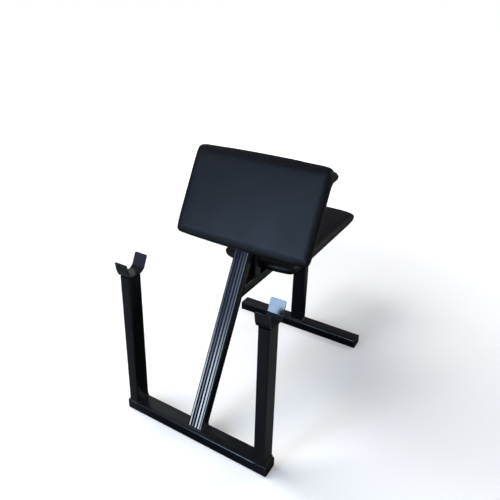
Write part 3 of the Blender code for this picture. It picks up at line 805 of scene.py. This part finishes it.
def sweep_bead(bm, path, closed):
    """A bead along a path of points, which ends in two caps or runs back into itself."""
    count = len(path)
    steps = count + 1 if closed else count
    for step in range(steps):
        place = path[step % count]
        after = path[(step + 1) % count] if closed else path[min(step + 1, count - 1)]
        before = path[(step - 1) % count] if closed else path[max(step - 1, 0)]
        turn = (after - before).to_track_quat("Z", "Y").to_matrix().to_4x4()
        size = bead_radius(place, step, count, closed)
        ring = Matrix.Translation(place) @ turn @ Matrix.Scale(size, 4)
        if step == 0:
            made = bmesh.ops.create_circle(
                bm, cap_ends=not closed, segments=BEAD_SIDES, radius=1.0, matrix=ring
            )
            edges = list({edge for vert in made["verts"] for edge in vert.link_edges})
        else:
            grown = bmesh.ops.extrude_edge_only(bm, edges=edges)["geom"]
            moved = [item for item in grown if isinstance(item, bmesh.types.BMVert)]
            edges = [item for item in grown if isinstance(item, bmesh.types.BMEdge)]
            bmesh.ops.transform(bm, matrix=ring @ last.inverted(), verts=moved)
        last = ring
    if not closed:
        bmesh.ops.contextual_create(bm, geom=edges)


def add_weld(name, runs, loops=()):
    """One piece of weld from open runs, each a (start, end) pair, and from closed loops."""
    bm = bmesh.new()
    for start, end in runs:
        sweep_bead(bm, straight_path(start, end, RING_SPACING), closed=False)
    for loop in loops:
        sweep_bead(bm, loop, closed=True)
    bmesh.ops.remove_doubles(bm, verts=bm.verts, dist=JOIN)
    bmesh.ops.recalc_face_normals(bm, faces=bm.faces)
    add_piece(name, bm, WELD_COAT, crease=BEAD_CREASE)


def weld_round(name, low, high, level):
    """A closed bead round a tube that stands on a level face."""
    path = round_path(low, high, TUBE_CORNER, RING_SPACING, group=RINGS_PER_SCALLOP)
    add_weld(name, (), [[place.to_3d() + Vector((0, 0, level)) for place, outward in path]])


def side_runs(low, high, level, along):
    """Runs along the two sides of a level rectangle that lie along x (0) or y (1)."""
    across = 1 - along
    runs = []
    for edge in (low[across], high[across]):
        ends = []
        for reach in (low[along] + TUBE_CORNER, high[along] - TUBE_CORNER):
            spot = Vector((0, 0, level))
            spot[along] = reach
            spot[across] = edge
            ends.append(spot)
        runs.append(ends)
    return runs


def behind_post(height):
    """The y of the post's back face at a height."""
    foot = POST_FOOT.y + TUBE_DEPTH / math.cos(POST_LEAN)
    return foot + (height - POST_FOOT.z) * math.tan(POST_LEAN)


def flank_runs(half, bottom, top):
    """Up both sides of the post's back face, between two heights."""
    return [((x, behind_post(bottom), bottom), (x, behind_post(top), top)) for x in (-half, half)]


def weld_beam_behind_post(half):
    low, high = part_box("seat_beam")
    runs = flank_runs(half, low.z + TUBE_CORNER, high.z - TUBE_CORNER)
    inner = half - TUBE_CORNER
    y = behind_post(low.z)
    runs.append(((-inner, y, low.z), (inner, y, low.z)))
    add_weld("seat_beam_front_weld", runs)


def weld_strut_behind_post(half):
    low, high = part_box("pad_strut")
    meets = low.z + (low.y - behind_post(low.z)) / math.tan(POST_LEAN)
    add_weld("pad_strut_top_weld", flank_runs(half, meets + TUBE_CORNER, high.z - TUBE_CORNER))


def weld_bar(node, half, edges):
    """Across the tube along a flat bar's edges: each has its axes, its y and its z there."""
    inner = half - TUBE_CORNER
    runs = [[axes @ Vector((x, y, z)) for x in (-inner, inner)] for axes, y, z in edges]
    add_weld(node + "_weld", runs)


def weld_frame():
    for side in ("left", "right"):
        low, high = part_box(f"{side}_upright")
        weld_round(f"{side}_upright_weld", low, high, low.z + WELD_SINK)
        add_weld(f"{side}_cradle_weld", side_runs(low, high, high.z + WELD_SINK, 1))
    low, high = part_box("rear_post")
    weld_round("rear_post_weld", low, high, low.z + WELD_SINK)
    add_weld("rear_post_top_weld", side_runs(low, high, high.z - WELD_SINK, 0))
    low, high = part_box("pad_strut")
    add_weld("pad_strut_weld", side_runs(low, high, low.z + WELD_SINK, 0))
    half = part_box("center_post")[1].x
    low, high = (-half, POST_FOOT.y), (half, behind_post(POST_FOOT.z))
    weld_round("center_post_weld", low, high, POST_FOOT.z + WELD_SINK)
    weld_beam_behind_post(half)
    weld_strut_behind_post(half)
    for node in ("arm_pad_lower_bar", "arm_pad_upper_bar"):
        low, high = local_box(node, TO_POST)
        weld_bar(node, half, [(POST_AXES, y, WELD_SINK) for y in (low.y, high.y)])
    for node in ("seat_front_bar", "seat_rear_bar"):
        low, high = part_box(node)
        weld_bar(node, half, [(LEVEL, y, low.z + WELD_SINK) for y in (low.y, high.y)])


weld_frame()


# Backs of the pads: vinyl pulled round the board and stapled
BOARD_ROUNDING = 20 * MM
HEM_WIDTH = 14 * MM
HEM_THICKNESS = 1.0 * MM
HEM_STEP = 4 * MM
# From inside the cushion round the board's edge: distance out of the edge, height over its back
HEM_PROFILE = (
    (9.0 * MM, 4.6 * MM),
    (7.0 * MM, 2.6 * MM),
    (4.0 * MM, 0.8 * MM),
    (1.0 * MM, -0.4 * MM),
    (-2.5 * MM, -0.7 * MM),
    (-8.0 * MM, -0.6 * MM),
    (-HEM_WIDTH, -0.5 * MM),
)
HEM_WAVE = 0.25 * MM  # up and down between staples, and as much again by chance
HEM_WANDER = 2.0 * MM
HEM_NOISE_SCALE = 30.0
PLEAT_HEIGHT = 0.8 * MM
CORNER_GAIN = 3.4  # makes the pleat in the middle of a corner about full height
STAPLE_WIDTH = 10 * MM
STAPLE_WIRE = 1.1 * MM
STAPLE_FLATNESS = 0.6  # of the wire's width
STAPLE_BEVEL = 0.25 * MM
STAPLE_INSET = HEM_WIDTH * 0.55
STAPLE_SLANT = 0.5  # at most, in radians
STAPLE_NOISE_SCALE = 90.0
STAPLE_DEPTH = 1.3 * MM  # below the board's back
STAPLE_SPACING = 32 * MM


def add_hem(name, low, high, to_world):
    """A band of vinyl round the board's edge and onto its back, pleated at the corners."""
    path = round_path(low, high, BOARD_ROUNDING, HEM_STEP)
    columns, rows = len(path), len(HEM_PROFILE) - 1
    bm = bmesh.new()
    made = bmesh.ops.create_grid(bm, x_segments=columns, y_segments=rows, size=0.5)
    for vert in made["verts"]:
        column = round((vert.co.x + 0.5) * columns) % columns
        out, up = HEM_PROFILE[round((vert.co.y + 0.5) * rows)]
        place, outward = path[column]
        inside = max(0.0, -out) / HEM_WIDTH
        wobble = noise.noise(place.to_3d() * HEM_NOISE_SCALE)
        turning = 1 - max(abs(outward.x), abs(outward.y))
        pucker = math.cos(2 * math.pi * column * HEM_STEP / STAPLE_SPACING)
        pleat = turning * CORNER_GAIN * (column % 2) * PLEAT_HEIGHT
        rise = (HEM_WAVE * (pucker + wobble) + pleat) * inside
        spot = place + outward * (out - HEM_WANDER * wobble * inside)
        vert.co = to_world @ Vector((spot.x, spot.y, low.z + up - rise))
    bmesh.ops.remove_doubles(bm, verts=bm.verts, dist=JOIN)
    bmesh.ops.recalc_face_normals(bm, faces=bm.faces)
    hem = add_piece(name, bm, VINYL)
    wall = hem.modifiers.new("wall", "SOLIDIFY")
    wall.thickness = HEM_THICKNESS
    wall.offset = 0.0


def add_staples(name, low, high, to_world):
    """Staples along the hem, each a little askew."""
    corner = Vector((STAPLE_INSET, STAPLE_INSET, 0))
    rounding = BOARD_ROUNDING - STAPLE_INSET
    bar = (STAPLE_WIDTH, STAPLE_WIRE, STAPLE_WIRE * STAPLE_FLATNESS)
    bm = bmesh.new()
    for place, outward in round_path(low + corner, high - corner, rounding, STAPLE_SPACING):
        slant = noise.noise(place.to_3d() * STAPLE_NOISE_SCALE) * STAPLE_SLANT
        angle = math.atan2(outward.x, -outward.y) + slant
        spot = Vector((place.x, place.y, low.z - STAPLE_DEPTH))
        made = bmesh.ops.create_cube(bm, size=1)
        bmesh.ops.scale(bm, vec=bar, verts=made["verts"])
        turned = to_world @ Matrix.Translation(spot) @ Matrix.Rotation(angle, 4, "Z")
        bmesh.ops.transform(bm, matrix=turned, verts=made["verts"])
    bmesh.ops.bevel(
        bm,
        geom=list(bm.edges),
        offset=STAPLE_BEVEL,
        offset_type="OFFSET",
        segments=2,
        profile=0.5,
        affect="EDGES",
        material=-1,
    )
    add_piece(name, bm, ZINC)


for pad_name, board, to_world in (("arm_pad", arm_board, POST_AXES), ("seat", seat_board, LEVEL)):
    add_hem(pad_name + "_hem", *board, to_world)
    add_staples(pad_name + "_staples", *board, to_world)


# Camera, floor and light
FOCAL_PIXELS = 520.97
PICTURE_SIDE = 500
CENTRE_ROW = 215.0
SENSOR = 36.0
CAMERA_PLACE = Vector((0.87049, -1.63800, 1.46080))
CAMERA_YAW = 0.5330026
CAMERA_PITCH = -0.3978342
CAMERA_ROLL = 0.0250903


def add_camera():
    """The photograph's own viewpoint, solved from the frame's straight edges."""
    ahead = Vector(
        (
            -math.sin(CAMERA_YAW) * math.cos(CAMERA_PITCH),
            math.cos(CAMERA_YAW) * math.cos(CAMERA_PITCH),
            math.sin(CAMERA_PITCH),
        )
    )
    right = ahead.cross(Vector((0, 0, 1))).normalized()
    up = right.cross(ahead)
    roll = Matrix.Rotation(-CAMERA_ROLL, 3, ahead)
    axes = Matrix((roll @ right, roll @ up, -ahead)).transposed()
    data = bpy.data.cameras.new("camera")
    camera = bpy.data.objects.new("camera", data)
    bpy.context.scene.collection.objects.link(camera)
    camera.matrix_world = Matrix.Translation(CAMERA_PLACE) @ axes.to_4x4()
    data.sensor_width = SENSOR
    data.lens = FOCAL_PIXELS * SENSOR / PICTURE_SIDE
    data.shift_y = (CENTRE_ROW - PICTURE_SIDE / 2) / PICTURE_SIDE
    bpy.context.scene.camera = camera


FLOOR_SIZE = 60.0
FLOOR_GLOW = 0.16  # its own light to the camera out to FLOOR_NEAR, which is 1 from FLOOR_FAR
FLOOR_NEAR = 0.9
FLOOR_FAR = 3.2
UNDER_BENCH = (0.33, 0.62, 1.0)  # half sides of the patch of painted shade on the floor under the bench
# The floor as the object sees it, in painted light and shade: darkened under the bench, dim in front,
# and brighter beside and behind it
PAINTED_SHADE_UNDER_BENCH = rgb(0.018, 0.018, 0.021)
PAINTED_DIM_FLOOR = rgb(0.115, 0.115, 0.122)
PAINTED_LIGHT_FLOOR = rgb(0.19, 0.19, 0.185)
FLOOR_TURN = (-0.75, 0.0)  # the y between which it turns from dim to bright
SHADE_EDGE = (0.8, 1.5)  # times UNDER_BENCH, over which the painted shade under the bench gives way
SEEN_FLOOR = rgb(0.86, 0.86, 0.86)
WHITE = rgb(1, 1, 1)


def add_floor():
    """A pale floor, dimmer to the object than to the camera, which keeps the shadow. To the object it
    shows painted shade under the bench and painted light behind it.
    """
    bm = bmesh.new()
    bmesh.ops.create_grid(bm, x_segments=1, y_segments=1, size=FLOOR_SIZE / 2)
    mesh = bpy.data.meshes.new("floor")
    bm.to_mesh(mesh)
    bm.free()
    floor = bpy.data.objects.new("floor", mesh)
    bpy.context.scene.collection.objects.link(floor)
    material = bpy.data.materials.new("floor")
    material.use_nodes = True
    tree = material.node_tree
    wires = Wiring(tree)
    shader = tree.nodes["Principled BSDF"]
    seen = wires.add("LightPath").outputs["Is Camera Ray"]
    place = wires.add("TexCoord").outputs["Object"]
    under = wires.add("VectorMath", {"operation": "DIVIDE"}, Vector=place).outputs["Vector"]
    under.node.inputs[1].default_value = UNDER_BENCH
    reach = wires.add("VectorMath", {"operation": "LENGTH"}, Vector=under).outputs["Value"]
    backward = wires.add("SeparateXYZ", Vector=place).outputs["Y"]
    # painted light and shade on the floor, as gloss and bounce light see it
    painted_light_around = wires.mix(wires.ramp(backward, *FLOOR_TURN), PAINTED_DIM_FLOOR, PAINTED_LIGHT_FLOOR)
    mirrored = wires.mix(wires.ramp(reach, *SHADE_EDGE), PAINTED_SHADE_UNDER_BENCH, painted_light_around)
    wires.feed(shader.inputs["Base Color"], wires.mix(seen, mirrored, SEEN_FLOOR))
    shader.inputs["Roughness"].default_value = 0.9
    shader.inputs["Specular IOR Level"].default_value = 0.0
    shader.inputs["Emission Color"].default_value = WHITE
    away = wires.add("VectorMath", {"operation": "LENGTH"}, Vector=place).outputs["Value"]
    glow = wires.ramp(away, FLOOR_NEAR, FLOOR_FAR, FLOOR_GLOW, 1.0)
    wires.feed(shader.inputs["Emission Strength"], wires.maths("MULTIPLY", seen, glow))
    mesh.materials.append(material)


def add_lamp(name, place, aim, size, power, colour):
    data = bpy.data.lights.new(name, "AREA")
    data.shape = "RECTANGLE"
    data.size, data.size_y = size
    data.energy = power
    data.color = colour
    lamp = bpy.data.objects.new(name, data)
    bpy.context.scene.collection.objects.link(lamp)
    direction = Vector(aim) - Vector(place)
    lamp.rotation_mode = "QUATERNION"
    lamp.rotation_quaternion = direction.to_track_quat("-Z", "Y")
    lamp.location = place
    return lamp


ROOM_TONE = rgb(0.055, 0.058, 0.062)
FILL_LIGHT = rgb(0.30, 0.30, 0.31)
# Paler patches of the room that gloss shows: where, how far it spreads (a cosine), colour
ROOM_PATCHES = (
    ((-0.38, -0.90, 0.19), 0.35, rgb(0.12, 0.19, 0.30)),
    ((-0.64, 0.49, 0.59), 0.93, rgb(0.60, 0.60, 0.58)),
    ((-0.34, 0.85, 0.40), 0.93, rgb(0.14, 0.135, 0.155)),
    ((-0.66, -0.70, 0.22), 0.82, rgb(0.34, 0.36, 0.52)),
    ((0.50, -0.72, 0.48), 0.70, rgb(0.20, 0.21, 0.23)),
)


def set_world():
    """White to the camera, a dark room to gloss and an even grey fill to the rest."""
    world = bpy.data.worlds.new("studio")
    bpy.context.scene.world = world
    world.use_nodes = True
    tree = world.node_tree
    wires = Wiring(tree)
    background = tree.nodes["Background"]
    seen = wires.add("LightPath").outputs["Is Camera Ray"]
    mirrored = wires.add("LightPath").outputs["Is Glossy Ray"]
    way = wires.add("TexCoord").outputs["Generated"]
    room = ROOM_TONE
    for aim, start, colour in ROOM_PATCHES:
        facing = wires.add("VectorMath", {"operation": "DOT_PRODUCT"})
        wires.feed(facing.inputs[0], way)
        facing.inputs[1].default_value = Vector(aim).normalized()
        room = wires.mix(wires.ramp(facing.outputs["Value"], start, 1.0), room, colour)
    fill = wires.mix(mirrored, FILL_LIGHT, room)
    wires.feed(background.inputs["Color"], wires.mix(seen, fill, WHITE))


BENCH_MIDDLE = (0, 0, 0.45)
WINDOW_LIGHT = (0.48, 0.70, 1.0)
PLAIN_LIGHT = (1.0, 1.0, 1.0)


def add_lamps():
    """A bluish window in front, and two white lamps above and behind."""
    add_lamp(
        "window",
        place=(-0.78, -3.3, 1.42),
        aim=(0.25, -0.40, 0.7),
        size=(0.95, 1.7),
        power=59,
        colour=WINDOW_LIGHT,
    )
    overhead = add_lamp(
        "overhead",
        place=(-1.7, -0.9, 3.4),
        aim=BENCH_MIDDLE,
        size=(2.0, 2.0),
        power=110,
        colour=PLAIN_LIGHT,
    )
    overhead.visible_glossy = False
    add_lamp(
        "rim",
        place=(2.6, 2.2, 2.4),
        aim=BENCH_MIDDLE,
        size=(1.4, 1.4),
        power=30,
        colour=PLAIN_LIGHT,
    )


add_camera()
add_floor()
set_world()
add_lamps()
bpy.context.scene.view_settings.view_transform = "Standard"
